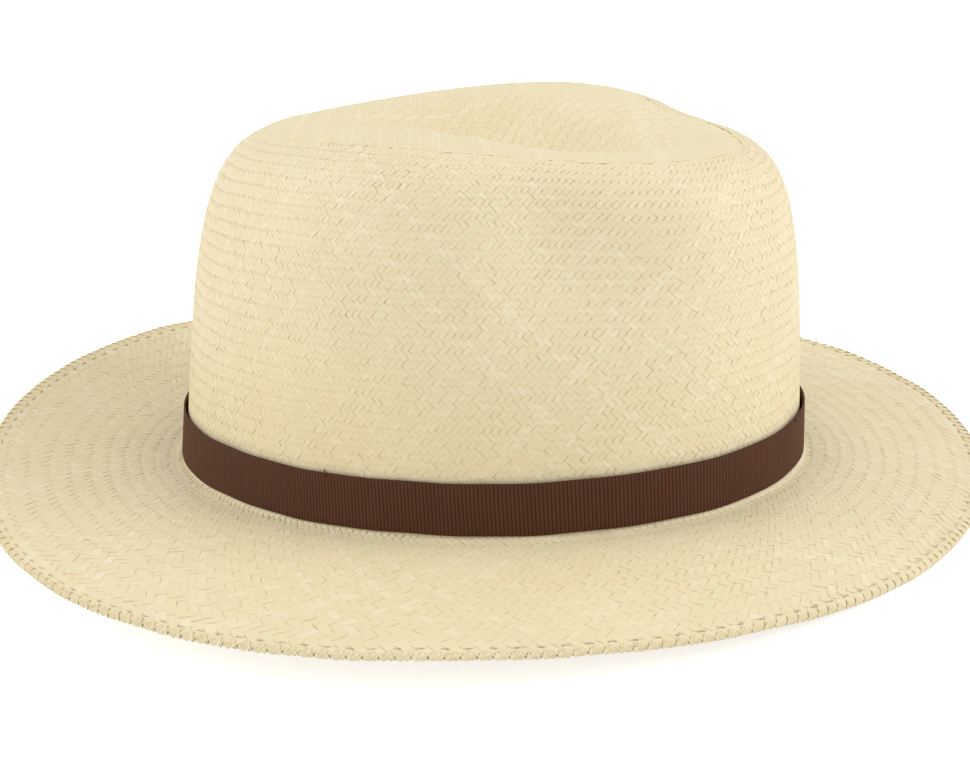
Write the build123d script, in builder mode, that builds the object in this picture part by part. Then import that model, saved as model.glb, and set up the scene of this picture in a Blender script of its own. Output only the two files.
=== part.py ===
from build123d import *
import os
from math import cos, exp, pi, radians, sin, sqrt

# A woven straw hat of the panama kind. +Z is up, the wearer faces -Y and the
# wearer's left is +X. The origin is the centre of the head opening, level with the
# line where the crown's outer face meets the top of the brim. Millimetres.

# Crown, outside of the straw
crown_length = 205.0  # front to back at its foot
crown_width = 168.0  # side to side at its foot
side_height = 107.5  # rim of the dent at the sides
front_height = 98.0  # tip of the dent at the front
back_height = 104.0  # tip of the dent at the back
wall_lean = 0.06  # how far the wall leans in, per unit of height
crown_rake = 0.094  # how far the whole crown leans forward, per unit of height
side_fullness = 5.4  # 2 is a round shoulder, more is a squarer one
end_fullness = 4.2  # the same at the front and the back

# Teardrop dent in the top, and the pinch on each side of its front
dent_front = 82.0  # centre to the front tip
dent_back = 49.0  # centre to the back tip
dent_width = 74.0
dent_floor = 84.0  # height of its deepest point
pinch_depth = 10.5
pinch_angle = radians(43)  # from the front, to each side
pinch_spread = radians(16)
pinch_level = 0.78  # share of the wall's height where a pinch is deepest
pinch_reach = 0.27

# Brim, measured to its edge
brim_length = 311.0
brim_width = 317.0
front_edge = -10.8  # height of the edge at the front
side_edge = -0.3
back_edge = 18.7
edge_wave = -2.7  # keeps the dip of the front broad
brim_curl = 1.4  # 1 is a straight slope, more curls towards the edge
root_radius = 3.0  # where the crown turns out into the brim

# Straw and hem
straw = 1.1
hem_depth = 4.0  # width of the ply turned under the edge
hem_ply = 0.8
hem_stitch_pitch = 6.0
stitch_length = 2.4
thread = 0.4

# Ribbon round the crown, and its bow on the wearer's left
ribbon_height = 15.2
ribbon_ply = 0.6
ribbon_lift = 1.3  # its lower edge above the brim
bow_middle = radians(93)
bow_half = radians(19)  # from the middle of the bow to the end of a loop
tail_half = radians(25)
keeper_half = radians(3.6)
loop_space = radians(0.8)  # half of the space between the loops, under the keeper
loop_ply = 1.3  # a loop's two plies, pressed flat

# Sweatband inside the foot of the crown
band_top = 33.0
band_ply = 0.8
reed_radius = 1.0
reed_level = 2.3
fold_ease = 1.2  # the fold slants past the reed, so its back stands this much further off
tape_ply = 0.22
tape_top = 8.0
band_stitch_level = 6.6
band_stitch_pitch = 5.0
seam_half = radians(2.6)
label_middle = radians(160)
label_half = radians(5.5)
label_foot = 21.0
label_top = 46.0
label_ply = 0.12
play = 0.06  # gap left between pieces that lie against each other

points_round = 48  # points of a spline that goes once round the hat


def oval(angle, length, width):
    """Radius of an ellipse at an angle from the front."""
    long, wide = length / 2, width / 2
    return long * wide / sqrt((wide * cos(angle)) ** 2 + (long * sin(angle)) ** 2)


def blend(angle, front, side, back):
    """A value that changes smoothly from the front to the sides and the back."""
    ahead = front if cos(angle) > 0 else back
    return side + (ahead - side) * cos(angle) ** 2


def dent_rim(angle):
    """Plan radius of the dent's rim: two arcs that meet at the front and back tips."""
    half_length = dent_front if cos(angle) > 0 else dent_back
    half_width = dent_width / 2
    arc = (half_length**2 + half_width**2) / (2 * half_width)
    side = (arc - half_width) * sqrt(sin(angle) ** 2 + 0.003)
    return sqrt(side**2 + arc**2 - (arc - half_width) ** 2) - side


def pinch(angle, level, radius):
    """How far the front pinches press the straw in, at a share of the wall's height."""
    depth = 0
    for middle in (pinch_angle, -pinch_angle):
        turn = (angle - middle + pi) % (2 * pi) - pi
        depth += pinch_depth * exp(-((turn / pinch_spread) ** 2))
    press = exp(-(((level - pinch_level) / pinch_reach) ** 2))
    return depth * press * min(1, radius / 40)


def wall_radius(angle, height):
    """Plan radius of the crown's outer face."""
    top = blend(angle, front_height, side_height, back_height)
    level = min(1, height / top)
    full = blend(angle, end_fullness, side_fullness, end_fullness)
    foot = oval(angle, crown_length, crown_width)
    open_share = (1 - level**full) ** (1 / full)
    radius = dent_rim(angle) + (foot - dent_rim(angle)) * open_share
    radius -= (wall_lean - crown_rake * cos(angle)) * height * open_share
    return radius - pinch(angle, level, radius)


def brim_height(angle, radius):
    """Height of the brim's top face."""
    mean = (side_edge + (front_edge + back_edge) / 2) / 2
    saddle = mean - side_edge
    slope = (front_edge - back_edge) / 2 - edge_wave
    edge = mean + slope * cos(angle) + saddle * cos(2 * angle) + edge_wave * cos(3 * angle)
    foot = oval(angle, crown_length, crown_width)
    share = (radius - foot) / (oval(angle, brim_length, brim_width) - foot)
    return edge * max(0, share) ** brim_curl


def at(angle, radius, height):
    """A point of the hat's own round grid."""
    return Vector(radius * sin(angle), -radius * cos(angle), height)


def top_face(angle, place):
    """Outer face of the straw: brim 0-1, root 1-2, wall 2-3, dent 3-4."""
    foot = oval(angle, crown_length, crown_width)
    edge = oval(angle, brim_length, brim_width)
    if place <= 1:
        radius = edge + (foot + root_radius - edge) * place
        return at(angle, radius, brim_height(angle, radius))
    if place < 2:
        turn = (place - 1) * pi / 2
        start = brim_height(angle, foot + root_radius) * (2 - place)
        wall = wall_radius(angle, root_radius)
        radius = wall + (foot + root_radius - wall) * (1 - sin(turn))
        return at(angle, radius, start + root_radius * (1 - cos(turn)))
    top = blend(angle, front_height, side_height, back_height)
    if place <= 3:
        level = root_radius / top + (1 - root_radius / top) * sin((place - 2) * pi / 2)
        return at(angle, wall_radius(angle, top * min(1, level)), top * level)
    share = 4 - place
    rim = dent_rim(angle) * share
    fall = share * share * (3 - 2 * share)
    return at(angle, rim - pinch(angle, 1, rim), dent_floor + (top - dent_floor) * fall)


def face_normal(angle, place):
    """Outward direction of the straw's outer face."""
    step = 0.001
    along = top_face(angle + step, place) - top_face(angle - step, place)
    up = top_face(angle, min(4 - step, place + step)) - top_face(angle, max(0, place - step))
    return along.cross(up).normalized()


def below_face(angle, place, depth):
    """A point at a depth below the straw's outer face."""
    return top_face(angle, place) - face_normal(angle, place) * depth


def ring(point):
    """A closed curve round the hat through point(angle)."""
    angles = [2 * pi * step / points_round for step in range(points_round)]
    steps = [step / points_round for step in range(points_round + 1)]
    return Wire([Edge.make_spline([point(angle) for angle in angles], periodic=True, parameters=steps)])


def hoop(corners):
    """A ring-shaped solid: its section's corners are functions of the angle."""
    rings = [ring(corner) for corner in corners]
    faces = []
    for first, second in zip(rings, rings[1:] + rings[:1]):
        faces += Shell.make_loft([first, second], ruled=True).faces()
    return Solid(Shell(faces))


def wall_gap(angle, gap):
    """The radial distance that makes a gap measured square to the crown's foot."""
    long, wide = crown_length / 2, crown_width / 2
    slant = (long**2 - wide**2) * sin(angle) * cos(angle)
    return gap * sqrt(1 + (slant / ((wide * cos(angle)) ** 2 + (long * sin(angle)) ** 2)) ** 2)


def by_wall(gap, height):
    """A corner that stands off the crown's outer face; a gap below 0 is inside."""
    return lambda angle: at(angle, wall_radius(angle, height) + wall_gap(angle, gap), height)


def by_edge(inset, depth):
    """A corner measured in from the brim's edge and down through the straw."""

    def corner(angle):
        foot = oval(angle, crown_length, crown_width)
        edge = oval(angle, brim_length, brim_width)
        return below_face(angle, inset / (edge - foot - root_radius), depth)

    return corner


def radial_plane(angle):
    """Upright plane through the hat's axis: x is the radius and y is the height."""
    return Plane(origin=(0, 0, 0), x_dir=(sin(angle), -cos(angle), 0), z_dir=(-cos(angle), -sin(angle), 0))


def wall_sections(arc, heights, gaps, count=7):
    """Upright sections of a slab that lies along the crown's wall, ready to loft."""
    start, end = arc
    low, high = heights
    inner, outer = gaps
    sections = []
    for step in range(count):
        angle = start + (end - start) * step / (count - 1)
        near, far = wall_gap(angle, inner), wall_gap(angle, outer)
        with BuildSketch(radial_plane(angle)) as section:
            with BuildLine():
                Polyline(
                    (wall_radius(angle, low) + near, low),
                    (wall_radius(angle, low) + far, low),
                    (wall_radius(angle, high) + far, high),
                    (wall_radius(angle, high) + near, high),
                    close=True,
                )
            make_face()
        sections.append(section.sketch)
    return sections


os.makedirs("parts", exist_ok=True)

# Crown and brim, woven in one: outer face, inner face one straw's thickness below it,
# and the strip that joins them at the edge of the brim.
brim_places = [step / 4 for step in range(5)]
root_places = [1 + step / 4 for step in range(5)]
crown_places = [2 + step / 18 for step in range(36)]


def straw_face(depth):
    """The hat's outer face, or the one at a depth below it, and its ring at the edge."""

    def rings(places):
        return [ring(lambda angle: below_face(angle, place, depth)) for place in places]

    middle = Vertex(0, 0, dent_floor - depth)
    brim = Shell.make_loft(rings(brim_places))
    root = Shell.make_loft(rings(root_places))
    crown = Shell.make_loft(rings(crown_places) + [middle])
    return rings([0])[0], brim.faces() + root.faces() + crown.faces()


with BuildPart() as straw_body:
    outer_edge, outer_faces = straw_face(0)
    inner_edge, inner_faces = straw_face(straw)
    edge_strip = Shell.make_loft([inner_edge, outer_edge], ruled=True)
    add(Solid(Shell(outer_faces + inner_faces + edge_strip.faces())))
straw_body.part.label = "straw_body"
export_step(straw_body.part, "parts/straw_body.step")

# Ply of the edge, turned under all round
hem_top = straw + play
with BuildPart() as brim_hem:
    add(
        hoop(
            [
                by_edge(0, hem_top),
                by_edge(hem_depth, hem_top),
                by_edge(hem_depth, hem_top + hem_ply),
                by_edge(0, hem_top + hem_ply),
            ]
        )
    )
brim_hem.part.label = "brim_hem"
export_step(brim_hem.part, "parts/brim_hem.step")

# Thread that holds the hem, seen on top of the brim
seam = by_edge(hem_depth - 1, 0)
hem_stitch_count = round(pi * (brim_length + brim_width) / 2 / hem_stitch_pitch)
hem_places = []
for number in range(hem_stitch_count):
    angle = 2 * pi * number / hem_stitch_count
    along = seam(angle + 0.01) - seam(angle - 0.01)
    inward = by_edge(hem_depth, 0)(angle) - seam(angle)
    up = along.cross(inward).normalized()
    hem_places.append(Plane(origin=seam(angle) + up * (play + thread / 4), x_dir=along, z_dir=up))
with BuildPart() as hem_stitches:
    with Locations(hem_places):
        Box(stitch_length, thread, thread / 2)
hem_stitches.part.label = "hem_stitches"
export_step(hem_stitches.part, "parts/hem_stitches.step")

# Grosgrain band round the crown
ribbon_top = ribbon_lift + ribbon_height
ribbon_gap = root_radius - sqrt(root_radius**2 - (root_radius - ribbon_lift) ** 2) + play
with BuildPart() as hatband_ribbon:
    add(
        hoop(
            [
                by_wall(ribbon_gap, ribbon_lift),
                by_wall(ribbon_gap + ribbon_ply, ribbon_lift),
                by_wall(ribbon_gap + ribbon_ply, ribbon_top),
                by_wall(ribbon_gap, ribbon_top),
            ]
        )
    )
hatband_ribbon.part.label = "hatband_ribbon"
export_step(hatband_ribbon.part, "parts/hatband_ribbon.step")

# Flat bow over the ribbon's join: tails, then loops, then the keeper round the middle
ribbon_heights = (ribbon_lift, ribbon_top)
tail_arc = (bow_middle - tail_half, bow_middle + tail_half)
tail_gap = ribbon_gap + ribbon_ply + play
with BuildPart() as bow_tails:
    loft(wall_sections(tail_arc, ribbon_heights, (tail_gap, tail_gap + ribbon_ply)))
bow_tails.part.label = "bow_tails"
export_step(bow_tails.part, "parts/bow_tails.step")

loop_gap = tail_gap + ribbon_ply + play
front_loop_arc = (bow_middle - bow_half, bow_middle - loop_space)
back_loop_arc = (bow_middle + loop_space, bow_middle + bow_half)
with BuildPart() as bow_loops:
    loft(wall_sections(front_loop_arc, ribbon_heights, (loop_gap, loop_gap + loop_ply)))
    loft(wall_sections(back_loop_arc, ribbon_heights, (loop_gap, loop_gap + loop_ply)))
bow_loops.part.label = "bow_loops"
export_step(bow_loops.part, "parts/bow_loops.step")

keeper_gap = loop_gap + loop_ply + play
keeper_arc = (bow_middle - keeper_half, bow_middle + keeper_half)
with BuildPart() as bow_keeper:
    loft(wall_sections(keeper_arc, ribbon_heights, (keeper_gap, keeper_gap + ribbon_ply), 3))
bow_keeper.part.label = "bow_keeper"
export_step(bow_keeper.part, "parts/bow_keeper.step")

# Thread tacks over the ribbon's upper edge
tack_level = ribbon_top + play + thread / 2
tack_face = by_wall(ribbon_gap, tack_level)
tack_places = []
for angle in (radians(3), radians(135), radians(183), radians(-92)):
    along = tack_face(angle + 0.01) - tack_face(angle - 0.01)
    tack_places.append(Plane(origin=tack_face(angle), x_dir=along, z_dir=(0, 0, 1)))
with BuildPart() as band_tacks:
    with Locations(tack_places):
        Box(stitch_length / 2, ribbon_gap, thread)
band_tacks.part.label = "band_tacks"
export_step(band_tacks.part, "parts/band_tacks.step")

# Sweatband: flat against the straw above, folded in round the reed below
band_back = -(straw + tape_ply + 3 * play)
reed_gap = band_back + play - reed_radius
fold_back = reed_gap - (reed_radius + play) * fold_ease
fold_top = reed_level + reed_radius + 2.2
fold_foot = reed_level - reed_radius - play
with BuildPart() as sweatband:
    add(
        hoop(
            [
                by_wall(band_back, band_top),
                by_wall(band_back, (band_top + fold_top) / 2),
                by_wall(band_back, fold_top),
                by_wall(fold_back, reed_level),
                by_wall(fold_back, fold_foot),
                by_wall(fold_back - band_ply, fold_foot),
                by_wall(fold_back - band_ply, reed_level),
                by_wall(band_back - band_ply, fold_top + band_ply),
                by_wall(band_back - band_ply, (band_top + fold_top) / 2),
                by_wall(band_back - band_ply, band_top),
            ]
        )
    )
sweatband.part.label = "sweatband"
export_step(sweatband.part, "parts/sweatband.step")

# Plastic reed in the fold
reed_line = ring(by_wall(reed_gap, reed_level))
with BuildPart() as sweatband_reed:
    with BuildSketch(Plane(origin=reed_line @ 0, z_dir=reed_line % 0)):
        Circle(reed_radius)
    sweep(path=reed_line)
sweatband_reed.part.label = "sweatband_reed"
export_step(sweatband_reed.part, "parts/sweatband_reed.step")

# Tape that joins the fold to the straw
tape_back = -(straw + play)
tape_foot = reed_level
with BuildPart() as reed_tape:
    add(
        hoop(
            [
                by_wall(tape_back, tape_top),
                by_wall(tape_back, tape_foot),
                by_wall(tape_back - tape_ply, tape_foot),
                by_wall(tape_back - tape_ply, tape_top),
            ]
        )
    )
reed_tape.part.label = "reed_tape"
export_step(reed_tape.part, "parts/reed_tape.step")

# Stitches along the sweatband, just above the fold
band_stitch_count = round(pi * (crown_length + crown_width) / 2 / band_stitch_pitch)
band_face = by_wall(band_back - band_ply - play - thread / 4, band_stitch_level)
band_places = []
for number in range(band_stitch_count):
    angle = 2 * pi * (number + 0.5) / band_stitch_count
    along = band_face(angle + 0.01) - band_face(angle - 0.01)
    outward = along.cross(Vector(0, 0, 1))
    band_places.append(Plane(origin=band_face(angle), x_dir=along, z_dir=outward))
with BuildPart() as sweatband_stitches:
    with Locations(band_places):
        Box(stitch_length, thread, thread / 2)
sweatband_stitches.part.label = "sweatband_stitches"
export_step(sweatband_stitches.part, "parts/sweatband_stitches.step")

# Tape over the sweatband's join at the back
seam_arc = (pi - seam_half, pi + seam_half)
seam_gap = band_back - band_ply - thread / 2 - 2 * play
with BuildPart() as back_seam_tape:
    loft(wall_sections(seam_arc, (band_stitch_level - 1, band_top - 1), (seam_gap - tape_ply, seam_gap), 3))
back_seam_tape.part.label = "back_seam_tape"
export_step(back_seam_tape.part, "parts/back_seam_tape.step")

# Plain label tucked between the straw and the sweatband
label_arc = (label_middle - label_half, label_middle + label_half)
label_back = -(straw + play)
with BuildPart() as size_label:
    loft(wall_sections(label_arc, (label_foot, label_top), (label_back - label_ply, label_back), 3))
size_label.part.label = "size_label"
export_step(size_label.part, "parts/size_label.step")
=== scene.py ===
import math

import bpy
import numpy as np
from mathutils import Matrix, Vector


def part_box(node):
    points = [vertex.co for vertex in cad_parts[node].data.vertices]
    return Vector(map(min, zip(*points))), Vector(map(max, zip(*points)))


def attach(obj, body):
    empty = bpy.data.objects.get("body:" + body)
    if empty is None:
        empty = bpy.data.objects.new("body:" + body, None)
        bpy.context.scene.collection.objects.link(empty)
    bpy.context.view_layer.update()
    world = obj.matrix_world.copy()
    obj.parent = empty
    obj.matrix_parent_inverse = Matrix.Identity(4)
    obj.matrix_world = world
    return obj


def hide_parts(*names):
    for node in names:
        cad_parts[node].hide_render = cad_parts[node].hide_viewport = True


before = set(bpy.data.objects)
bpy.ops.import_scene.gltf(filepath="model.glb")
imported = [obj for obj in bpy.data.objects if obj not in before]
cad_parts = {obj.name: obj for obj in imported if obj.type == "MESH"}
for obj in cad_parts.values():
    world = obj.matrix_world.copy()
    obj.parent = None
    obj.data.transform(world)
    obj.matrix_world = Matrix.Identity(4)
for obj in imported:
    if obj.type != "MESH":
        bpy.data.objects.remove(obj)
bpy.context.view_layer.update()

# Camera: a little above the brim, on the wearer's right and partly in front of the hat,
# close enough for the near side of the brim to open out.
camera_turn = math.radians(-59.0)
camera_rise = math.radians(16.8)
camera_roll = math.radians(-3.56)
camera_distance = 0.6058
camera_target = Vector((0.0006, -0.001, 0.0174))
camera_back = Vector((
    math.sin(camera_turn) * math.cos(camera_rise),
    -math.cos(camera_turn) * math.cos(camera_rise),
    math.sin(camera_rise),
))
camera_data = bpy.data.cameras.new("camera")
camera_data.sensor_width = 36
camera_data.lens = 70.3
camera_data.clip_start = 0.01
camera = bpy.data.objects.new("camera", camera_data)
level_right = camera_back.cross(Vector((0, 0, -1))).normalized()
level_up = camera_back.cross(level_right)
right = level_right * math.cos(camera_roll) + level_up * math.sin(camera_roll)
up = camera_back.cross(right)
turned = Matrix((right, up, camera_back)).transposed().to_4x4()
camera.matrix_world = Matrix.Translation(camera_target + camera_back * camera_distance) @ turned
bpy.context.scene.collection.objects.link(camera)
bpy.context.scene.camera = camera

# Crown and brim: one cloth of split straw, plaited over two and under two from the centre
# of the crown outwards. The strands climb the wall at 45 degrees both ways, so the rows of
# floats run level round the hat. The form is blocked with a teardrop dent and two pinches.
straw_low, straw_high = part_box("straw_body")
hem_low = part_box("brim_hem")[0]
crown_length = 0.205
crown_width = 0.168
side_height = straw_high[2]
front_height = 0.098
back_height = 0.104
wall_lean = 0.06
crown_rake = 0.094
side_fullness = 5.4
end_fullness = 4.2
dent_front = 0.082
dent_back = 0.049
dent_width = 0.074
dent_floor = 0.084
pinch_depth = 0.0105
pinch_angle = math.radians(43)
pinch_spread = math.radians(16)
pinch_level = 0.78
pinch_reach = 0.27
brim_length = 0.311
brim_width = straw_high[0] - straw_low[0]
front_edge = -0.0108
side_edge = -0.0003
back_edge = 0.0187
edge_wave = -0.0027
brim_curl = 1.4
root_radius = 0.003
straw = 0.0011


def oval(angle, length, width):
    return length * width / 2 / np.sqrt((width * np.cos(angle)) ** 2 + (length * np.sin(angle)) ** 2)


def blend(angle, front, side, back):
    ahead = np.where(np.cos(angle) > 0, front, back)
    return side + (ahead - side) * np.cos(angle) ** 2


def dent_rim(angle):
    half_length = np.where(np.cos(angle) > 0, dent_front, dent_back)
    half_width = dent_width / 2
    arc = (half_length**2 + half_width**2) / (2 * half_width)
    side = (arc - half_width) * np.sqrt(np.sin(angle) ** 2 + 0.003)
    return np.sqrt(side**2 + arc**2 - (arc - half_width) ** 2) - side


def pinch(angle, level, radius):
    depth = 0
    for middle in (pinch_angle, -pinch_angle):
        turn = (angle - middle + math.pi) % (2 * math.pi) - math.pi
        depth = depth + pinch_depth * np.exp(-((turn / pinch_spread) ** 2))
    press = np.exp(-(((level - pinch_level) / pinch_reach) ** 2))
    return depth * press * np.minimum(1, radius / 0.040)


def wall_radius(angle, height):
    level = np.clip(height / blend(angle, front_height, side_height, back_height), 0, 1)
    full = blend(angle, end_fullness, side_fullness, end_fullness)
    foot = oval(angle, crown_length, crown_width)
    open_share = (1 - level**full) ** (1 / full)
    radius = dent_rim(angle) + (foot - dent_rim(angle)) * open_share
    radius = radius - (wall_lean - crown_rake * np.cos(angle)) * height * open_share
    return radius - pinch(angle, level, radius)


def brim_height(angle, radius):
    mean = (side_edge + (front_edge + back_edge) / 2) / 2
    saddle = mean - side_edge
    slope = (front_edge - back_edge) / 2 - edge_wave
    edge = mean + slope * np.cos(angle) + saddle * np.cos(2 * angle) + edge_wave * np.cos(3 * angle)
    foot = oval(angle, crown_length, crown_width)
    share = (radius - foot) / (oval(angle, brim_length, brim_width) - foot)
    return edge * np.maximum(0, share) ** brim_curl


def top_face(angle, place):
    """Outer face of the straw: brim 0-1, root 1-2, wall 2-3, dent 3-4."""
    angle, place = np.broadcast_arrays(angle, place)
    foot = oval(angle, crown_length, crown_width)
    edge = oval(angle, brim_length, brim_width)
    top = blend(angle, front_height, side_height, back_height)
    brim_radius = edge + (foot + root_radius - edge) * place
    turn = np.clip(place - 1, 0, 1) * math.pi / 2
    wall = wall_radius(angle, root_radius)
    root_line = wall + (foot + root_radius - wall) * (1 - np.sin(turn))
    root_height = brim_height(angle, foot + root_radius) * np.clip(2 - place, 0, 1)
    level = root_radius / top + (1 - root_radius / top) * np.sin(np.clip(place - 2, 0, 1) * math.pi / 2)
    share = np.clip(4 - place, 0, 1)
    rim = dent_rim(angle) * share
    dent_height = dent_floor + (top - dent_floor) * share * share * (3 - 2 * share)
    zones = [place <= 1, place < 2, place <= 3]
    radius = np.select(
        zones, [brim_radius, root_line, wall_radius(angle, top * level)], rim - pinch(angle, 1, rim)
    )
    height = np.select(
        zones,
        [brim_height(angle, brim_radius), root_height + root_radius * (1 - np.cos(turn)), top * level],
        dent_height,
    )
    return np.stack([radius * np.sin(angle), -radius * np.cos(angle), height], -1)


def unit(vectors):
    return vectors / np.maximum(1e-12, np.linalg.norm(vectors, axis=-1, keepdims=True))


def face_normal(angle, place):
    step = 0.001
    along = top_face(angle + step, place) - top_face(angle - step, place)
    rise = top_face(angle, np.minimum(4, place + step)) - top_face(angle, np.maximum(0, place - step))
    return unit(np.cross(along, rise))


# The plait's grid: strand_count straws lean each way, and a row is half a straw's pitch of
# climb. Rows keep the straws' own proportions, so they open out with the brim.
strand_count = 264
fine_angles = np.linspace(0, 2 * math.pi, 721)
foot_points = top_face(fine_angles, 2.0)
foot_steps = np.linalg.norm(np.diff(foot_points, axis=0), axis=1)
foot_run = np.concatenate([[0], np.cumsum(foot_steps)])
foot_round = foot_run[-1]
pitch = foot_round / strand_count
fine_places = np.linspace(0, 2.98, 900)
profile = top_face(fine_angles[None, :-1], fine_places[:, None])
climb = np.linalg.norm(np.diff(profile, axis=0), axis=2).mean(1)
girth = np.linalg.norm(np.roll(profile, -1, axis=1) - profile, axis=2).sum(1)
mean_girth = (girth[1:] + girth[:-1]) / 2
row_run = np.concatenate([[0], np.cumsum(climb * foot_round / mean_girth)]) / (pitch / 2)
foot_row = 4 * round(float(np.interp(1.6, fine_places, row_run)) / 4)
hem_row = 3.32
top_place = 2.91
top_row = float(np.interp(top_place, fine_places, row_run))


def turn_at(columns):
    """Angle round the hat at a distance counted in straw pitches."""
    turns = np.floor(columns / strand_count)
    rest = np.interp((columns - turns * strand_count) * pitch, foot_run, fine_angles)
    return turns * 2 * math.pi + rest


def place_at(rows):
    """Place on the straw's face at a row; below row 0 it runs on evenly past the edge."""
    first = fine_places[8] / row_run[8]
    return np.where(rows < 0, rows * first, np.interp(rows, row_run, fine_places))


def smooth(share):
    share = np.clip(share, 0, 1)
    return share * share * (3 - 2 * share)


def unevenness(angle, place):
    """Slight hand-made waves of the cloth, stronger in the brim."""
    waves = np.sin(5 * angle + 4.1 * place) + 0.7 * np.sin(11 * angle - 5.3 * place + 1)
    waves = waves + 0.5 * np.sin(23 * angle + 9.7 * place + 2) + 0.3 * np.sin(41 * angle - 17 * place)
    return waves * (0.00011 + 0.00012 * np.clip(1 - place, 0, 1))


def add_node(tree, kind, settings=(), inputs=()):
    """A node with its settings, and its inputs given as values or as other nodes' sockets."""
    made = tree.nodes.new(kind)
    for name, value in dict(settings).items():
        setattr(made, name, value)
    for key, value in dict(inputs).items():
        if isinstance(value, bpy.types.NodeSocket):
            tree.links.new(value, made.inputs[key])
        else:
            made.inputs[key].default_value = value
    return made


def maths(tree, operation, first, second=0.0):
    return add_node(tree, "ShaderNodeMath", {"operation": operation}, {0: first, 1: second}).outputs[0]


def new_group(name, kind, inputs, outputs):
    """An empty node group with named sockets, and its two end nodes."""
    tree = bpy.data.node_groups.new(name, kind)
    for title, (socket_type, value) in inputs.items():
        socket = tree.interface.new_socket(title, in_out="INPUT", socket_type=socket_type)
        if value is not None:
            socket.default_value = value
    for title, socket_type in outputs.items():
        tree.interface.new_socket(title, in_out="OUTPUT", socket_type=socket_type)
    return tree, tree.nodes.new("NodeGroupInput"), tree.nodes.new("NodeGroupOutput")


def named_value(tree, name, kind="FLOAT"):
    settings = {"data_type": kind}
    return add_node(tree, "GeometryNodeInputNamedAttribute", settings, {"Name": name}).outputs["Attribute"]


def finish_group(tree, geometry, given, made):
    """Ends a Geometry Nodes group: real geometry in the given material."""
    real = add_node(tree, "GeometryNodeRealizeInstances", {}, {"Geometry": geometry}).outputs["Geometry"]
    inputs = {"Geometry": real, "Material": given.outputs["Material"]}
    paint = add_node(tree, "GeometryNodeSetMaterial", {}, inputs)
    tree.links.new(paint.outputs["Geometry"], made.inputs["Geometry"])


def plait_tree():
    """Geometry Nodes: centre lines with a face direction become flat straws or thread."""
    inputs = {
        "Geometry": ("NodeSocketGeometry", None),
        "Width": ("NodeSocketFloat", 0.001),
        "Face Width": ("NodeSocketFloat", 0.0009),
        "Thickness": ("NodeSocketFloat", 0.0004),
        "Material": ("NodeSocketMaterial", None),
    }
    tree, given, made = new_group("plait", "GeometryNodeTree", inputs, {"Geometry": "NodeSocketGeometry"})
    lines = add_node(tree, "GeometryNodeMeshToCurve", {}, {"Mesh": given.outputs["Geometry"]})
    facing = named_value(tree, "facing", "FLOAT_VECTOR")
    breadth = named_value(tree, "breadth")
    turned = add_node(
        tree,
        "GeometryNodeSetCurveNormal",
        {"mode": "FREE"},
        {"Curve": lines.outputs["Curve"], "Normal": facing},
    )
    section = add_node(
        tree,
        "GeometryNodeCurvePrimitiveQuadrilateral",
        {"mode": "TRAPEZOID"},
        {
            "Height": given.outputs["Thickness"],
            "Bottom Width": given.outputs["Width"],
            "Top Width": given.outputs["Face Width"],
            "Offset": 0.0,
        },
    )
    upright = add_node(
        tree,
        "GeometryNodeTransform",
        {},
        {"Geometry": section.outputs["Curve"], "Rotation": (0, 0, -math.pi / 2)},
    )
    skin = add_node(
        tree,
        "GeometryNodeCurveToMesh",
        {},
        {
            "Curve": turned.outputs["Curve"],
            "Profile Curve": upright.outputs["Geometry"],
            "Scale": breadth,
            "Fill Caps": True,
        },
    )
    finish_group(tree, skin.outputs["Mesh"], given, made)
    return tree


plait = plait_tree()


def set_input(modifier, name, value):
    for item in modifier.node_group.interface.items_tree:
        if item.in_out == "INPUT" and item.name == name:
            modifier[item.identifier] = value


def baked(piece):
    """Replaces a piece's mesh by its finished one and takes its modifiers off."""
    bpy.context.view_layer.update()
    graph = bpy.context.evaluated_depsgraph_get()
    finished = piece.evaluated_get(graph)
    mesh = bpy.data.meshes.new_from_object(finished, preserve_all_data_layers=True, depsgraph=graph)
    piece.modifiers.clear()
    piece.data = mesh
    mesh.name = piece.name


def new_piece(name, mesh):
    piece = bpy.data.objects.new(name, mesh)
    bpy.context.scene.collection.objects.link(piece)
    return piece


def put_values(mesh, name, values, kind="FLOAT"):
    """Writes one value, or one vector, for each vertex."""
    layer = mesh.attributes.new(name, kind, "POINT")
    field = "value" if kind == "FLOAT" else "vector"
    layer.data.foreach_set(field, np.asarray(values, np.float32).ravel())


def put_uv(mesh, across, along):
    """The UV map OFBake for the finish: across and along, for each vertex."""
    corners = np.empty(len(mesh.loops), np.int32)
    mesh.loops.foreach_get("vertex_index", corners)
    layer = mesh.uv_layers.new(name="OFBake")
    layer.data.foreach_set("uv", np.stack([along, across], 1)[corners].astype(np.float32).ravel())


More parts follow.
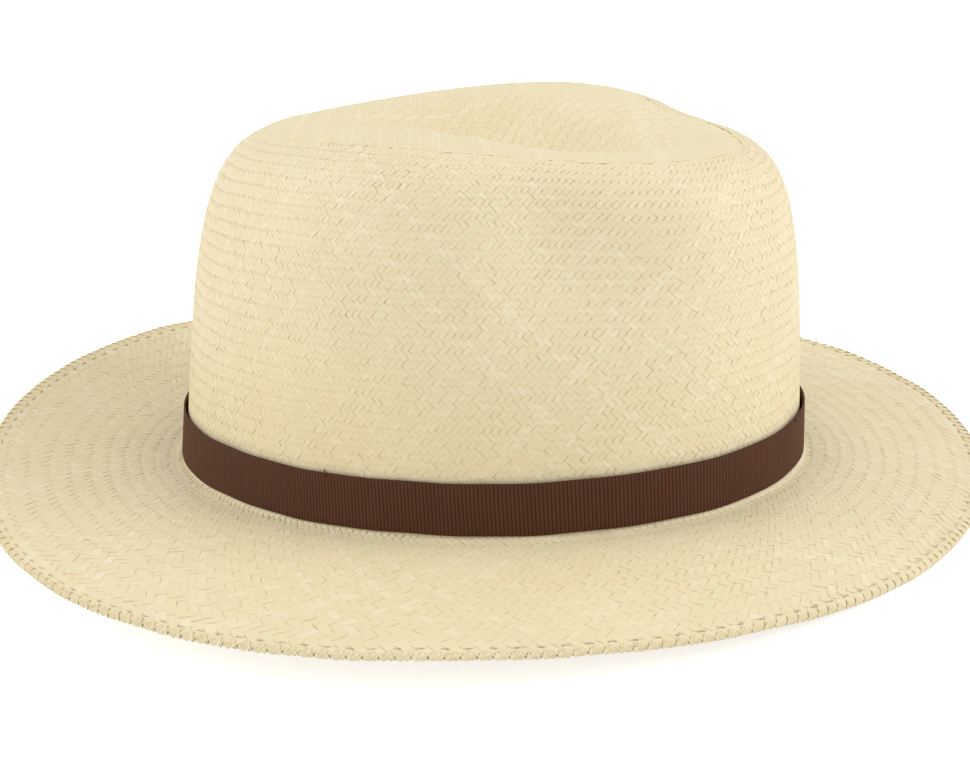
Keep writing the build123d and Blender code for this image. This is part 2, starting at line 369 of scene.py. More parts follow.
def strand_piece(name, runs, facings, breadths, width, face_share, thickness, material):
    """Straws or stitches from centre lines, one array of points for each."""
    counts = np.array([len(run) for run in runs])
    points = np.concatenate(runs)
    starts = np.cumsum(counts) - counts
    steps = np.linalg.norm(np.diff(points, axis=0, prepend=points[:1]), axis=1)
    steps[starts] = 0
    length = np.cumsum(steps)
    length = length - np.repeat(length[starts], counts)
    edges = np.delete(np.arange(len(points) - 1), starts[1:] - 1)
    mesh = bpy.data.meshes.new(name)
    mesh.vertices.add(len(points))
    mesh.edges.add(len(edges))
    mesh.vertices.foreach_set("co", points.astype(np.float32).ravel())
    mesh.edges.foreach_set("vertices", np.stack([edges, edges + 1], 1).astype(np.int32).ravel())
    put_values(mesh, "facing", np.concatenate(facings), "FLOAT_VECTOR")
    put_values(mesh, "breadth", np.concatenate(breadths))
    put_values(mesh, "tone", np.repeat(random.uniform(0, 1, len(runs)), counts))
    put_values(mesh, "run", length)
    put_values(mesh, "lane", np.repeat(np.arange(len(runs)) / len(runs), counts))
    mesh.update()
    piece = new_piece(name, mesh)
    modifier = piece.modifiers.new("plait", "NODES")
    modifier.node_group = plait
    set_input(modifier, "Width", width)
    set_input(modifier, "Face Width", width * face_share)
    set_input(modifier, "Thickness", thickness)
    set_input(modifier, "Material", material)
    baked(piece)
    mesh = piece.data
    mesh.shade_flat()
    vertex_count = len(mesh.vertices)
    corner = np.arange(vertex_count) % 4
    put_values(mesh, "across", np.array([0.8, -0.8, -1, 1])[corner])
    run = np.empty(vertex_count, np.float32)
    mesh.attributes["run"].data.foreach_get("value", run)
    lane = np.empty(vertex_count, np.float32)
    mesh.attributes["lane"].data.foreach_get("value", lane)
    put_uv(mesh, lane + np.array([0.7, 0.3, 0.05, 0.95])[corner] / len(runs), run / length.max())
    return piece


# Finish of the straw: split palm leaf, bleached to cream, satin on its outer side. Fine
# fibres run along each straw, painted shade darkens its narrow sides into thin lines between straws, and no
# two straws match.
def fibre_group():
    """Fine streaks that run along a straw, a thread or a ribbon."""
    inputs = {
        "Run": ("NodeSocketFloat", 0.0),
        "Across": ("NodeSocketFloat", 0.0),
        "Tone": ("NodeSocketFloat", 0.0),
        "Streak Length": ("NodeSocketFloat", 0.008),
        "Fineness": ("NodeSocketFloat", 3.0),
    }
    tree, given, made = new_group("fibres", "ShaderNodeTree", inputs, {"Streaks": "NodeSocketFloat"})
    spot = add_node(
        tree,
        "ShaderNodeCombineXYZ",
        {},
        {
            0: maths(tree, "DIVIDE", given.outputs["Run"], given.outputs["Streak Length"]),
            1: maths(tree, "MULTIPLY", given.outputs["Across"], given.outputs["Fineness"]),
            2: maths(tree, "MULTIPLY", given.outputs["Tone"], 91.0),
        },
    )
    noise = add_node(
        tree,
        "ShaderNodeTexNoise",
        {},
        {"Vector": spot.outputs[0], "Scale": 1.0, "Detail": 3.0, "Roughness": 0.6},
    )
    tree.links.new(noise.outputs["Fac"], made.inputs["Streaks"])
    return tree


def patch_group():
    """Broad, soft patches of another tone over a whole piece."""
    inputs = {
        "Patch Size": ("NodeSocketFloat", 0.02),
        "Contrast": ("NodeSocketFloat", 1.0),
    }
    tree, given, made = new_group("patches", "ShaderNodeTree", inputs, {"Patches": "NodeSocketFloat"})
    place = add_node(tree, "ShaderNodeTexCoord")
    scale = maths(tree, "DIVIDE", 1.0, given.outputs["Patch Size"])
    noise = add_node(
        tree,
        "ShaderNodeTexNoise",
        {},
        {"Vector": place.outputs["Object"], "Scale": scale, "Detail": 3.0, "Roughness": 0.55},
    )
    centred = maths(tree, "SUBTRACT", noise.outputs["Fac"], 0.5)
    spread = maths(tree, "MULTIPLY", centred, given.outputs["Contrast"])
    shifted = add_node(
        tree, "ShaderNodeMath", {"operation": "ADD", "use_clamp": True}, {0: spread, 1: 0.5}
    )
    tree.links.new(shifted.outputs[0], made.inputs["Patches"])
    return tree


fibres = fibre_group()
patches = patch_group()


def new_material(name, roughness):
    material = bpy.data.materials.new(name)
    material.use_nodes = True
    shader = material.node_tree.nodes["Principled BSDF"]
    shader.inputs["Roughness"].default_value = roughness
    return material, material.node_tree, shader


def value_of(tree, name):
    return add_node(tree, "ShaderNodeAttribute", {"attribute_name": name}).outputs["Fac"]


def group_node(tree, group, inputs):
    return add_node(tree, "ShaderNodeGroup", {"node_tree": group}, inputs).outputs[0]


def clamped(tree, value):
    return add_node(tree, "ShaderNodeClamp", {}, {"Value": value}).outputs[0]


def mixed(tree, share, first, second, blend_type="MIX"):
    return add_node(
        tree,
        "ShaderNodeMix",
        {"data_type": "RGBA", "blend_type": blend_type},
        {0: share, 6: first, 7: second},
    ).outputs[2]


def bumped(tree, shader, height, strength, depth):
    bump = add_node(
        tree, "ShaderNodeBump", {}, {"Strength": strength, "Distance": depth, "Height": height}
    )
    tree.links.new(bump.outputs["Normal"], shader.inputs["Normal"])


def straw_finish():
    material, tree, shader = new_material("split straw", 0.5)
    tone, across, run = (value_of(tree, name) for name in ("tone", "across", "run"))
    streaks = group_node(tree, fibres, {"Run": run, "Across": across, "Tone": tone})
    blotches = group_node(tree, patches, {"Patch Size": 0.03, "Contrast": 2.0})
    cream = (0.86, 0.76, 0.505, 1)
    ripe = (0.84, 0.715, 0.47, 1)
    green = (0.80, 0.75, 0.48, 1)
    pale = (0.89, 0.81, 0.59, 1)
    colour = mixed(tree, blotches, cream, ripe)
    late = clamped(tree, maths(tree, "MULTIPLY", maths(tree, "SUBTRACT", tone, 0.72), 2.4))
    colour = mixed(tree, late, colour, green)
    early = clamped(tree, maths(tree, "MULTIPLY", maths(tree, "SUBTRACT", 0.28, tone), 2.4))
    colour = mixed(tree, early, colour, pale)
    dark_streak = clamped(tree, maths(tree, "MULTIPLY", maths(tree, "SUBTRACT", 0.62, streaks), 0.5))
    colour = mixed(tree, dark_streak, colour, (0.66, 0.52, 0.30, 1))
    # Painted shade: the straw's narrow sides are darkened towards brown, as thin dark lines between
    # neighbouring straws.
    edge = maths(tree, "SUBTRACT", maths(tree, "ABSOLUTE", across), 0.82)
    edge = clamped(tree, maths(tree, "MULTIPLY", edge, 3.2))
    colour = mixed(tree, edge, colour, (0.50, 0.38, 0.20, 1))
    tree.links.new(colour, shader.inputs["Base Color"])
    tree.links.new(
        maths(tree, "ADD", maths(tree, "MULTIPLY", streaks, 0.25), 0.40), shader.inputs["Roughness"]
    )
    shader.inputs["Specular IOR Level"].default_value = 0.35
    bumped(tree, shader, streaks, 0.25, 0.0001)
    return material


split_straw = straw_finish()

# Plaited straws of the crown's wall and of the brim. Each straw floats over two and dips
# under two, and its ends at the top are tucked under the straws of the crown's top.
random = np.random.default_rng(7)
straw_width = pitch / math.sqrt(2)
straw_thickness = 0.00022
straw_face_share = 0.965
float_lift = 0.000115
float_reach = 0.32


def weave_lift(rows, leaning):
    """Height of a straw's middle above the cloth's: over for two rows, under for two."""
    from_top = np.abs((rows + 1.5) % 4 - 2)
    return leaning * np.clip((1 - from_top) / (0.5 - float_reach), -1, 1) * float_lift


def float_rows(first_row, last_row):
    """Rows at the ends of the floats, the only points where a straw bends."""
    periods = np.arange(first_row // 4 - 1, last_row // 4 + 2) * 4
    ends = np.array([-float_reach, 1 + float_reach, 2 - float_reach, 3 + float_reach])
    rows = (periods[:, None] + ends).ravel()
    return rows[(rows > first_row - 0.01) & (rows < last_row + 0.01)]


def local_breadth(angle, columns, rows):
    """Width that fills the plait's cells here, compared with that at the crown's foot."""
    place = place_at(rows)
    across = top_face(turn_at(columns + 0.5), place) - top_face(turn_at(columns - 0.5), place)
    rise = top_face(angle, place_at(rows + 0.5)) - top_face(angle, place_at(rows - 0.5))
    cell_wide = np.linalg.norm(across, axis=-1)
    cell_high = np.linalg.norm(rise, axis=-1)
    return cell_wide * cell_high / np.sqrt(cell_wide**2 / 4 + cell_high**2) / straw_width


def row_drift(angle, rows):
    """Slow wander of the rows, since the plait is beaten down by hand."""
    drift = 0.30 * np.sin(3 * angle + 0.11 * rows) + 0.16 * np.sin(13 * angle - 0.23 * rows + 2)
    return drift * smooth((rows - hem_row) / 6) * smooth((top_row - rows) / 6)


def wall_straws(leaning, rows, strands):
    """Centre lines of the straws that lean one way, through the given rows."""
    wobble = random.normal(0, 0.055, (len(strands), len(rows)))
    columns = strands[:, None] + leaning * rows[None, :] / 2 + wobble
    rows = np.broadcast_to(rows[None, :], columns.shape)
    angle = turn_at(columns)
    place = place_at(rows + row_drift(angle, rows))
    normal = face_normal(angle, place)
    tuck = 0.0009 * smooth((rows - top_row + 0.5) / 3)
    lift = weave_lift(rows, leaning) + unevenness(angle, place) - straw / 2 - tuck
    lift = lift + random.normal(0, 0.00002, lift.shape)
    middle = top_face(angle, place) + normal * lift[..., None]
    breadth = local_breadth(angle, columns, rows) * random.uniform(0.98, 1.07, (len(strands), 1))
    return list(middle), list(normal), list(breadth)


def put_in_place(piece, node):
    """Every piece rides the hat's one body and stands for a piece of the design."""
    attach(piece, "root")
    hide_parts(node)


def add_straws(name, lines, node):
    piece = strand_piece(name, *lines, straw_width, straw_face_share, straw_thickness, split_straw)
    put_in_place(piece, node)


halves = np.array_split(np.arange(strand_count), 2)
for leaning, way in ((1, "left"), (-1, "right")):
    for number, strands in enumerate(halves, 1):
        lines = wall_straws(leaning, float_rows(foot_row, top_row + 4), strands)
        add_straws(f"crown_straw_{way}_{number}", lines, "straw_body")
    lines = wall_straws(leaning, float_rows(hem_row, foot_row + 2), np.arange(strand_count))
    add_straws(f"brim_straw_{way}", lines, "straw_body")

# Top of the crown, plaited first: a flat, square plait of the same straws, blocked into
# the teardrop dent. It covers the tucked ends of the wall's straws.
top_pitch = 0.00138
plait_turn = math.radians(-58)
top_reach = 1.05
dent_places = np.linspace(top_place - 0.12, 4, 300)
dent_grid = top_face(fine_angles[:, None], dent_places[None, :])
dent_radius = np.hypot(dent_grid[..., 0], dent_grid[..., 1])
start_radius = np.hypot(*top_face(fine_angles, top_place)[:, :2].T)
share_steps = np.linspace(0, top_reach + 0.03, 260)
height_table = np.array(
    [
        np.interp(share_steps * start, radii[::-1], heights[::-1])
        for start, radii, heights in zip(start_radius, dent_radius, dent_grid[..., 2])
    ]
)


def top_share(x, y):
    """Distance from the middle, as a share of that of the plait's boundary."""
    angle = np.arctan2(x, -y) % (2 * math.pi)
    return np.hypot(x, y) / np.interp(angle, fine_angles, start_radius)


def top_level(x, y):
    """Height of the crown's top over a point of its plan."""
    column = np.arctan2(x, -y) % (2 * math.pi) / (fine_angles[1] - fine_angles[0])
    row = np.minimum(top_share(x, y), share_steps[-1]) / (share_steps[1] - share_steps[0])
    left = np.minimum(column.astype(int), len(fine_angles) - 2)
    low = np.minimum(row.astype(int), len(share_steps) - 2)
    right_share, high_share = column - left, row - low
    lower = height_table[left, low] * (1 - right_share) + height_table[left + 1, low] * right_share
    upper = height_table[left, low + 1] * (1 - right_share) + height_table[left + 1, low + 1] * right_share
    return lower * (1 - high_share) + upper * high_share


def top_point(x, y):
    return np.stack([x, y, top_level(x, y)], -1)


def top_normal(x, y, step=0.0006):
    slope_x = (top_level(x + step, y) - top_level(x - step, y)) / (2 * step)
    slope_y = (top_level(x, y + step) - top_level(x, y - step)) / (2 * step)
    return unit(np.stack([-slope_x, -slope_y, np.ones_like(x)], -1))


def top_straws(crossing):
    """Straws of the square plait that run one way (0) or across it (1)."""
    angle = plait_turn + crossing * math.pi / 2
    ahead = np.array([math.cos(angle), math.sin(angle)])
    aside = np.array([-math.sin(angle), math.cos(angle)])
    reach = int(start_radius.max() * 1.1 / top_pitch)
    runs, facings, breadths = [], [], []
    for strand in range(-reach, reach + 1):
        cells = float_rows(-2 * reach - 6, 2 * reach + 6)
        lift = weave_lift(cells, 1)
        along = cells + strand if crossing == 0 else cells - strand + 2
        side = strand + random.normal(0, 0.03, len(cells))
        x = (ahead[0] * along + aside[0] * side) * top_pitch
        y = (ahead[1] * along + aside[1] * side) * top_pitch
        share = top_share(x, y)
        inside = share < top_reach
        if inside.sum() < 3:
            continue
        x, y, share, lift = x[inside], y[inside], share[inside], lift[inside]
        normal = top_normal(x, y)
        half = aside * top_pitch / 2
        wide = top_point(x + half[0], y + half[1]) - top_point(x - half[0], y - half[1])
        tuck = 0.0009 * smooth((share - 0.985) / 0.04)
        middle = top_point(x, y) + normal * (lift - straw / 2 - tuck)[:, None]
        runs.append(middle)
        facings.append(normal)
        breadth = np.linalg.norm(wide, axis=1) / straw_width * random.uniform(0.98, 1.07)
        breadths.append(breadth)
    return runs, facings, breadths


for crossing, way in ((0, "along"), (1, "across")):
    add_straws(f"top_straw_{way}", top_straws(crossing), "straw_body")

# Edge of the brim: the plait is turned under all round and sewn down, so the straws run
# round the edge and end underneath. The stitching presses a fine groove into the brim.
hem_depth = 0.004
turn_radius = 0.0005
turn_inset = turn_radius + straw_thickness
stitch_inset = hem_depth - 0.001
groove_depth = 0.00022
hem_samples = 24


def brim_span(angle):
    return oval(angle, brim_length, brim_width) - oval(angle, crown_length, crown_width) - root_radius


def hem_point(angle, passed):
    """Middle of the plait and its outward side, at a distance past the start of the turn."""
    turn = np.clip(passed / turn_radius, 0, math.pi)
    under = np.maximum(0, passed - math.pi * turn_radius)
    inset = turn_inset + np.maximum(0, -passed) + under
    normal = face_normal(angle, np.full_like(angle, 0.02))
    place = inset / brim_span(angle)
    on_top = top_face(angle, np.clip(place, 0, 4))
    outward = unit(top_face(angle, np.zeros_like(angle)) - top_face(angle, np.full_like(angle, 0.02)))
    cosine, sine = np.cos(turn)[..., None], np.sin(turn)[..., None]
    base = on_top - normal * (straw / 2) - normal * (turn_radius * (1 - cosine))
    groove = groove_depth * np.exp(-(((inset - stitch_inset) / 0.0007) ** 2))
    facing = normal * cosine + outward * sine
    wave = unevenness(angle, place)[..., None] * normal
    return base + outward * (turn_radius * sine) - facing * groove[..., None] + wave, facing


def hem_straws(leaning):
    strands = np.arange(strand_count)
    share = np.linspace(0, 1, hem_samples)[None, :]
    rows = np.broadcast_to(hem_row * (1 - share), (strand_count, hem_samples))
    end = math.pi * turn_radius + hem_depth - turn_inset - random.uniform(0, 0.0005, (strand_count, 1))
    near_rows = np.arange(-12, 12)
    for _ in range(4):
        columns = strands[:, None] + leaning * rows / 2
        angle = turn_at(columns)
        start = turn_inset - place_at(hem_row) * brim_span(angle)
        passed = start + (end - start) * share
        places = (turn_inset - passed) / brim_span(angle)
        rows = np.interp(places, place_at(near_rows), near_rows)
    middle, facing = hem_point(angle, passed)
    lift = weave_lift(rows, leaning) * (1 - 0.75 * np.exp(-(((passed - turn_radius * 1.5) / 0.0018) ** 2)))
    breadth = local_breadth(angle, columns, np.clip(rows, 0.5, 6))
    breadth = breadth * random.uniform(1.10, 1.17, (strand_count, 1))
    return list(middle + facing * lift[..., None]), list(facing), list(breadth)


for leaning, way in ((1, "left"), (-1, "right")):
    add_straws(f"hem_straw_{way}", hem_straws(leaning), "brim_hem")

# Thread that sews the hem: short cotton stitches of the straw's colour in the groove on
# top, and between them the same stitches underneath.
hem_stitch_pitch = 0.006
stitch_length = 0.0024
thread = 0.0004


def thread_finish(name, colour, dark):
    """Two-ply cotton: the plies wind round each other as slanting bands, with painted shade in the grooves
    between them.
    """
    material, tree, shader = new_material(name, 0.75)
    across, run, tone = (value_of(tree, name) for name in ("across", "run", "tone"))
    streaks = group_node(
        tree, fibres, {"Run": run, "Across": across, "Tone": tone, "Streak Length": 0.0006}
    )
    slant = maths(tree, "ADD", maths(tree, "MULTIPLY", run, 9000.0), maths(tree, "MULTIPLY", across, 1.2))
    plies = maths(tree, "ADD", maths(tree, "MULTIPLY", maths(tree, "SINE", slant), 0.35), streaks)
    # Painted shade: the slanting grooves between the plies, together with the darker fibre streaks, are
    # drawn towards the dark colour.
    colour = mixed(tree, clamped(tree, plies), dark, colour)
    tree.links.new(colour, shader.inputs["Base Color"])
    bumped(tree, shader, plies, 0.5, 0.0001)
    return material


def stitch_lines(centres, alongs, facings, length, rise):
    """Each stitch comes up, lies along the cloth and goes down again."""
    shares = np.array([-0.56, -0.5, -0.36, 0, 0.36, 0.5, 0.56])
    rises = np.array([-0.5, 0.1, 0.9, 1.0, 0.9, 0.1, -0.5])
    runs = []
    for centre, along, facing in zip(centres, alongs, facings):
        runs.append(centre + np.outer(shares * length, along) + np.outer(rises * rise, facing))
    normals = [np.tile(facing, (len(shares), 1)) for facing in facings]
    return runs, normals, [np.ones(len(shares))] * len(runs)


def add_stitches(name, lines, material, node):
    piece = strand_piece(name, *lines, thread, 0.55, thread * 0.8, material)
    piece.data.shade_smooth()
    put_in_place(piece, node)
    return piece


straw_thread = thread_finish("straw thread", (0.84, 0.77, 0.60, 1), (0.55, 0.44, 0.27, 1))
hem_stitch_count = round(math.pi * (brim_length + brim_width) / 2 / hem_stitch_pitch)
centres, alongs, facings = [], [], []
for number in range(2 * hem_stitch_count):
    angle = np.array([math.pi * number / hem_stitch_count])
    under = number % 2
    passed = turn_inset - stitch_inset
    if under:
        passed = math.pi * turn_radius + stitch_inset - turn_inset
    here, facing = hem_point(angle, np.array([passed]))
    ahead, _ = hem_point(angle + 0.004, np.array([passed]))
    centres.append(here[0] + facing[0] * (straw_thickness + 0.00010))
    alongs.append(unit(ahead[0] - here[0]))
    facings.append(facing[0])
lines = stitch_lines(centres, alongs, facings, stitch_length, 0.0003)
add_stitches("hem_thread", lines, straw_thread, "hem_stitches")

# Band round the crown: matt brown grosgrain, about 15 mm wide, with a stout cord-like weft that
# shows as upright ribs. It is drawn tight round the foot of the crown.
ribbon_low, ribbon_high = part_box("hatband_ribbon")
ribbon_lift = ribbon_low[2]
ribbon_top = ribbon_high[2]
ribbon_height = ribbon_top - ribbon_lift
ribbon_ply = 0.0006
play = 0.00006
ribbon_gap = root_radius - math.sqrt(root_radius**2 - (root_radius - ribbon_lift) ** 2) + play
rib_pitch = 0.00112
rib_height = 0.00017
stations_per_rib = 4


def grosgrain_tree():
    """Geometry Nodes: sinks the valleys between the ribs of a ribbon into its faces."""
    inputs = {
        "Geometry": ("NodeSocketGeometry", None),
        "Rib Pitch": ("NodeSocketFloat", 0.001),
        "Rib Height": ("NodeSocketFloat", 0.0001),
        "Material": ("NodeSocketMaterial", None),
    }
    outputs = {"Geometry": "NodeSocketGeometry"}
    tree, given, made = new_group("grosgrain", "GeometryNodeTree", inputs, outputs)
    facing = named_value(tree, "facing", "FLOAT_VECTOR")
    turns = maths(tree, "DIVIDE", named_value(tree, "run"), given.outputs["Rib Pitch"])
    wave = maths(tree, "ABSOLUTE", maths(tree, "SINE", maths(tree, "MULTIPLY", turns, math.pi)))
    sunk = maths(tree, "MULTIPLY", maths(tree, "SUBTRACT", wave, 1.0), given.outputs["Rib Height"])
    offset = add_node(tree, "ShaderNodeVectorMath", {"operation": "SCALE"}, {0: facing, "Scale": sunk})
    inputs = {"Geometry": given.outputs["Geometry"], "Offset": offset.outputs[0]}
    moved = add_node(tree, "GeometryNodeSetPosition", {}, inputs)
    finish_group(tree, moved.outputs["Geometry"], given, made)
    return tree


grosgrain = grosgrain_tree()


def cloth_strip(name, middle, run, ply, material, closed=False, rib_height=0.0):
    """A woven strip: middle is its grid of points, along its length and across its width."""
    stations, levels = middle.shape[:2]
    if closed:
        along = np.roll(middle, -1, axis=0) - np.roll(middle, 1, axis=0)
    else:
        along = np.gradient(middle, axis=0)
    across = np.gradient(middle, axis=1)
    normal = unit(np.cross(along, across))
    side = unit(across)
    outer = middle + normal * ply / 2
    inner = (middle - normal * ply / 2)[:, ::-1]
    low_edge = middle[:, :1] - side[:, :1] * ply * 0.35
    high_edge = middle[:, -1:] + side[:, -1:] * ply * 0.35
    loop = np.concatenate([outer, high_edge, inner, low_edge], axis=1)
    facing = np.concatenate([normal, side[:, -1:], -normal[:, ::-1], -side[:, :1]], axis=1)
    run_grid = np.broadcast_to(run.reshape(stations, -1), (stations, levels))
    loop_run = np.concatenate([run_grid, run_grid[:, -1:], run_grid[:, ::-1], run_grid[:, :1]], axis=1)
    width = np.linalg.norm(np.diff(middle, axis=1), axis=2).sum(1).mean()
    shares = np.linspace(0, 1, levels)
    loop_share = np.concatenate([shares, [1], shares[::-1], [0]])
    round_it = loop.shape[1]
    first = np.arange(stations if closed else stations - 1)[:, None] * round_it
    here = np.arange(round_it)[None, :]
    follow = (here + 1) % round_it
    total = stations * round_it
    ahead = first + round_it
    quads = np.stack([first + here, (ahead + here) % total, (ahead + follow) % total, first + follow], -1)
    faces = quads.reshape(-1, 4).tolist()
    if not closed:
        for level in range(levels - 1):
            back = 2 * levels - level
            faces.append([level, level + 1, back - 1, back])
            start = total - round_it
            faces.append([start + back, start + back - 1, start + level + 1, start + level])
        for start, flip in ((0, 1), (total - round_it, -1)):
            for tip in ([levels - 1, levels, levels + 1], [2 * levels, 2 * levels + 1, 0]):
                faces.append([start + corner for corner in tip][::flip])
    mesh = bpy.data.meshes.new(name)
    mesh.from_pydata(loop.reshape(-1, 3).tolist(), [], faces)
    put_values(mesh, "facing", facing.reshape(-1, 3), "FLOAT_VECTOR")
    put_values(mesh, "run", loop_run.ravel())
    put_values(mesh, "across", np.tile((loop_share - 0.5) * width, stations))
    mesh.update()
    piece = new_piece(name, mesh)
    modifier = piece.modifiers.new("grosgrain", "NODES")
    modifier.node_group = grosgrain
    set_input(modifier, "Rib Pitch", rib_pitch)
    set_input(modifier, "Rib Height", rib_height)
    set_input(modifier, "Material", material)
    baked(piece)
    mesh = piece.data
    mesh.shade_smooth()
    bands = np.tile(np.arange(round_it) / round_it, stations)
    put_uv(mesh, bands, (loop_run / max(loop_run.max(), 1e-6)).ravel())
    return piece


def wall_point(angle, gap, height):
    """A point that stands off the crown's outer face; a gap below 0 is inside."""
    slant = (crown_length**2 - crown_width**2) * np.sin(angle) * np.cos(angle)
    slant = slant / ((crown_width * np.cos(angle)) ** 2 + (crown_length * np.sin(angle)) ** 2)
    radius = wall_radius(angle, height) + gap * np.sqrt(1 + slant**2)
    return np.stack(np.broadcast_arrays(radius * np.sin(angle), -radius * np.cos(angle), height), -1)


def ribbon_finish():
    """Viscose grosgrain: dull sheen on the ribs, painted shade darkening the valleys between them, fine warp
    across them.
    """
    material, tree, shader = new_material("brown grosgrain", 0.72)
    run, across = value_of(tree, "run"), value_of(tree, "across")
    turns = maths(tree, "MULTIPLY", run, math.pi / rib_pitch)
    rib = maths(tree, "ABSOLUTE", maths(tree, "SINE", turns))
    cords = maths(tree, "MULTIPLY", run, 1500.0)
    inputs = {"Run": across, "Across": cords, "Streak Length": 0.006, "Fineness": 1.0}
    streaks = group_node(tree, fibres, inputs)
    warp = maths(tree, "SINE", maths(tree, "MULTIPLY", across, math.pi / 0.00016))
    blotches = group_node(tree, patches, {"Patch Size": 0.012, "Contrast": 1.5})
    colour = mixed(tree, blotches, (0.080, 0.024, 0.0085, 1), (0.098, 0.032, 0.012, 1))
    colour = mixed(tree, maths(tree, "MULTIPLY", streaks, 0.5), colour, (0.125, 0.046, 0.018, 1))
    # Painted shade: the valleys between the ribs are darkened towards near black.
    painted_valley_shade = maths(tree, "POWER", maths(tree, "SUBTRACT", 1.0, rib), 1.5)
    colour = mixed(tree, painted_valley_shade, colour, (0.016, 0.005, 0.002, 1))
    tree.links.new(colour, shader.inputs["Base Color"])
    height = maths(tree, "ADD", streaks, maths(tree, "MULTIPLY", warp, 0.35))
    bumped(tree, shader, height, 0.35, 0.0001)
    shader.inputs["Specular IOR Level"].default_value = 0.25
    shader.inputs["Sheen Weight"].default_value = 0.12
    shader.inputs["Sheen Roughness"].default_value = 0.5
    shader.inputs["Sheen Tint"].default_value = (0.8, 0.5, 0.35, 1)
    return material


ribbon_levels = np.linspace(0, 1, 8)


def even_stations(points, step, closed=False):
    """Distances along a line of points, evenly spaced, and each point's own distance."""
    steps = np.linalg.norm(np.diff(points, axis=0), axis=1)
    length = np.concatenate([[0], np.cumsum(steps)])
    count = round(length[-1] / step)
    return np.linspace(0, length[-1], count, endpoint=not closed), length


band_line = wall_point(fine_angles, ribbon_gap + ribbon_ply / 2, ribbon_lift + ribbon_height / 2)
band_length = np.linalg.norm(np.diff(band_line, axis=0), axis=1).sum()
rib_pitch = band_length / round(band_length / rib_pitch)
brown_grosgrain = ribbon_finish()
band_run, band_steps = even_stations(band_line, rib_pitch / stations_per_rib, closed=True)
band_angle = np.interp(band_run, band_steps, fine_angles)[:, None]
edge_stray = 0.00012 * np.sin(9 * band_angle + 1) + 0.00008 * np.sin(23 * band_angle)
band_height = ribbon_lift + ribbon_height * ribbon_levels[None, :] + edge_stray
band_middle = wall_point(band_angle, ribbon_gap + ribbon_ply / 2, band_height)
ribbon = cloth_strip(
    "ribbon_grosgrain", band_middle, band_run, ribbon_ply, brown_grosgrain, True, rib_height
)
put_in_place(ribbon, "hatband_ribbon")

# Flat bow over the ribbon's join, on the wearer's left: a strip with notched tails, two
# loops pressed flat on it, and a short keeper wrapped round the middle. All are sewn down.
bow_middle = math.radians(93)
bow_half = math.radians(19)
tail_half = math.radians(25)
keeper_half = math.radians(3.6)
loop_space = math.radians(0.8)
loop_ply = 0.0013
tail_notch = math.radians(3.4)
loop_puff = 0.0009
tail_gap = ribbon_gap + ribbon_ply + play
loop_gap = tail_gap + ribbon_ply + play
keeper_gap = loop_gap + loop_ply + play
bow_height = ribbon_lift + ribbon_height * ribbon_levels[None, :]


def add_bow_piece(name, middle, run, node, length, width, rests_on):
    piece = cloth_strip(name, middle, run, ribbon_ply, brown_grosgrain, rib_height=rib_height)
    put_in_place(piece, node)


bow_radius = float(wall_radius(np.array(bow_middle), ribbon_lift + ribbon_height / 2)) + loop_gap
tail_length = 2 * tail_half * bow_radius
share = np.linspace(-1, 1, round(tail_length / rib_pitch * stations_per_rib))[:, None]
notch = tail_notch * (1 - np.abs(2 * ribbon_levels[None, :] - 1)) * smooth((np.abs(share) - 0.8) / 0.2)
tail_angle = bow_middle + share * tail_half - np.sign(share) * notch
tail_lift = 0.0005 * smooth((np.abs(share) - 0.75) / 0.25)
tail_middle = wall_point(tail_angle, tail_gap + ribbon_ply / 2 + tail_lift, bow_height)
tail_run = (tail_angle - bow_middle + tail_half) * bow_radius
tail_size = (tail_length, ribbon_height)
add_bow_piece("bow_tail_strip", tail_middle, tail_run, "bow_tails", *tail_size, "ribbon_grosgrain")

fold_radius = (loop_ply - ribbon_ply) / 2
for way, name in ((-1, "bow_loop_front"), (1, "bow_loop_back")):
    flat_length = (bow_half - loop_space) * bow_radius - loop_ply / 2
    turn_length = math.pi * fold_radius
    loop_length = 2 * flat_length + turn_length
    run = np.linspace(0, loop_length, round(loop_length / rib_pitch * stations_per_rib * 1.5))
    turn = np.clip((run - flat_length) / fold_radius, 0, math.pi)
    back = np.maximum(0, run - flat_length - turn_length)
    out = np.minimum(run, flat_length) + fold_radius * np.sin(turn) - back
    puff = loop_puff * np.sin(np.clip(out / flat_length, 0, 1) * math.pi) ** 2 * (turn < 1)
    gap = loop_gap + ribbon_ply / 2 + fold_radius * (1 + np.cos(turn)) + puff
    angle = bow_middle + way * (loop_space + out / bow_radius)
    middle = wall_point(angle[:, None], gap[:, None], bow_height)
    if way < 0:
        middle = middle[::-1]
    add_bow_piece(name, middle, run, "bow_loops", loop_length, ribbon_height, "bow_tail_strip")

keeper_width = 2 * keeper_half * bow_radius
rise = np.linspace(-0.5, 0.5, round(ribbon_height / rib_pitch * stations_per_rib))[:, None]
keeper_levels = np.linspace(1, -1, 7)[None, :]
curl = smooth((np.abs(rise) - 0.40) / 0.10)
pinched = 1 - 0.10 * np.cos(rise * math.pi)
keeper_angle = bow_middle + keeper_levels * keeper_half * pinched
keeper_height = ribbon_lift + ribbon_height * (0.5 + rise * 1.03)
crease = 0.00025 * np.cos(keeper_levels * 2.5 * math.pi) * np.cos(rise * math.pi)
keeper_lift = keeper_gap + ribbon_ply / 2 + crease + 0.0007 - curl * 0.0012
keeper_middle = wall_point(keeper_angle, keeper_lift, keeper_height)
keeper_run = (rise + 0.5) * ribbon_height
keeper_size = (ribbon_height, keeper_width)
add_bow_piece("bow_keeper_strip", keeper_middle, keeper_run, "bow_keeper", *keeper_size, "bow_loop_front")

